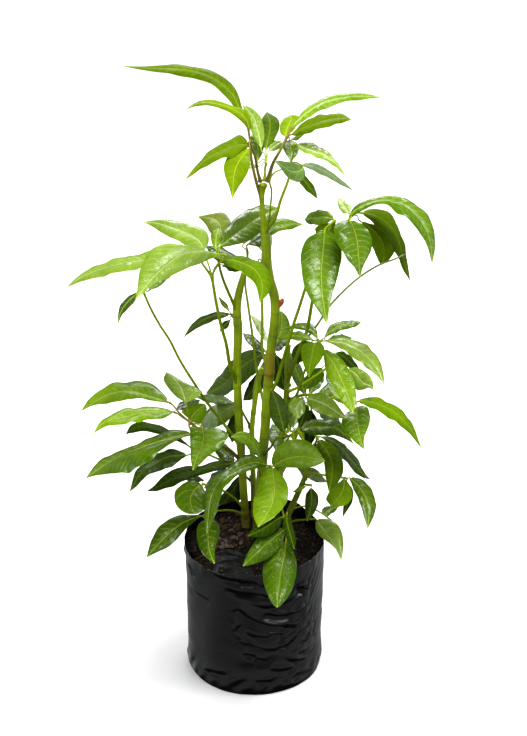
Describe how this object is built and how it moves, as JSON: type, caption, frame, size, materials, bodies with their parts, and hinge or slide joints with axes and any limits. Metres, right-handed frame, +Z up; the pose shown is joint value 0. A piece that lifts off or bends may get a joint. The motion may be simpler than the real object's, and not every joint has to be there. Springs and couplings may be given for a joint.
{
  "type": "potted umbrella plant",
  "caption": "Young umbrella tree with palmate glossy leaves on several upright stems, growing in potting mix in a black polyethylene nursery grow bag.",
  "frame": {"origin": "centre of the grow bag's flat base, on the floor", "axes": "+Z up along the plant's stems; -Y towards the viewer of the reference view; +X to that viewer's right"},
  "size_m": [0.5401, 0.5348, 0.9467],
  "materials": {
    "leaf_bright": "gloss",
    "leaf_green": "gloss",
    "leaf_dark": "gloss",
    "stem_green": "satin",
    "bag_film": "satin",
    "potting_mix": "matte"
  },
  "bodies": {
    "root": {"grow_bag": "bag_film", "potting_soil": "potting_mix", "stem_main": "stem_green", "stem_left": "stem_green", "stem_right": "stem_green", "stem_low_right": "stem_green", "stem_front": "stem_green", "stem_back": "stem_green", "stem_back_right": "stem_green", "leaf_top_far_left": "leaf_bright", "leaf_top_near_left": "leaf_bright", "leaf_top_young": "leaf_bright", "leaf_top_right": "leaf_bright", "leaf_top_low_right": "leaf_bright", "leaf_top_front": "leaf_bright", "leaf_upper_left_front": "leaf_green", "leaf_upper_left_back": "leaf_green", "leaf_small_left": "leaf_green", "leaf_dark_left": "leaf_dark", "leaf_upper_back": "leaf_green", "leaf_upper_back_2": "leaf_green", "leaf_right_a": "leaf_bright", "leaf_right_b": "leaf_bright", "petiole_bare": "leaf_bright", "leaf_mid_right": "leaf_green", "leaf_right_curled": "leaf_green", "leaf_right_low": "leaf_green", "leaf_right_wavy": "leaf_green", "leaf_right_dark": "leaf_dark", "shoot_young": "leaf_bright", "leaf_low_left": "leaf_green", "leaf_low_left_under": "leaf_dark", "leaf_low_left_dark": "leaf_dark", "leaf_low_left_front": "leaf_green", "leaf_base_left": "leaf_dark", "leaf_front": "leaf_green", "leaf_front_young": "leaf_bright", "leaf_low_front": "leaf_green", "leaf_right_front": "leaf_green", "leaf_right_front_low": "leaf_green", "leaf_right_inner": "leaf_dark", "leaf_right_far": "leaf_green", "leaf_base_right": "leaf_dark", "leaf_back_mid": "leaf_green", "leaf_back_left": "leaf_green", "leaf_back_left_low": "leaf_dark", "leaf_back_low": "leaf_dark", "leaf_back_right": "leaf_green", "leaf_back_right_low": "leaf_dark", "leaf_mid_dark": "leaf_dark"}
  },
  "joints": []
}
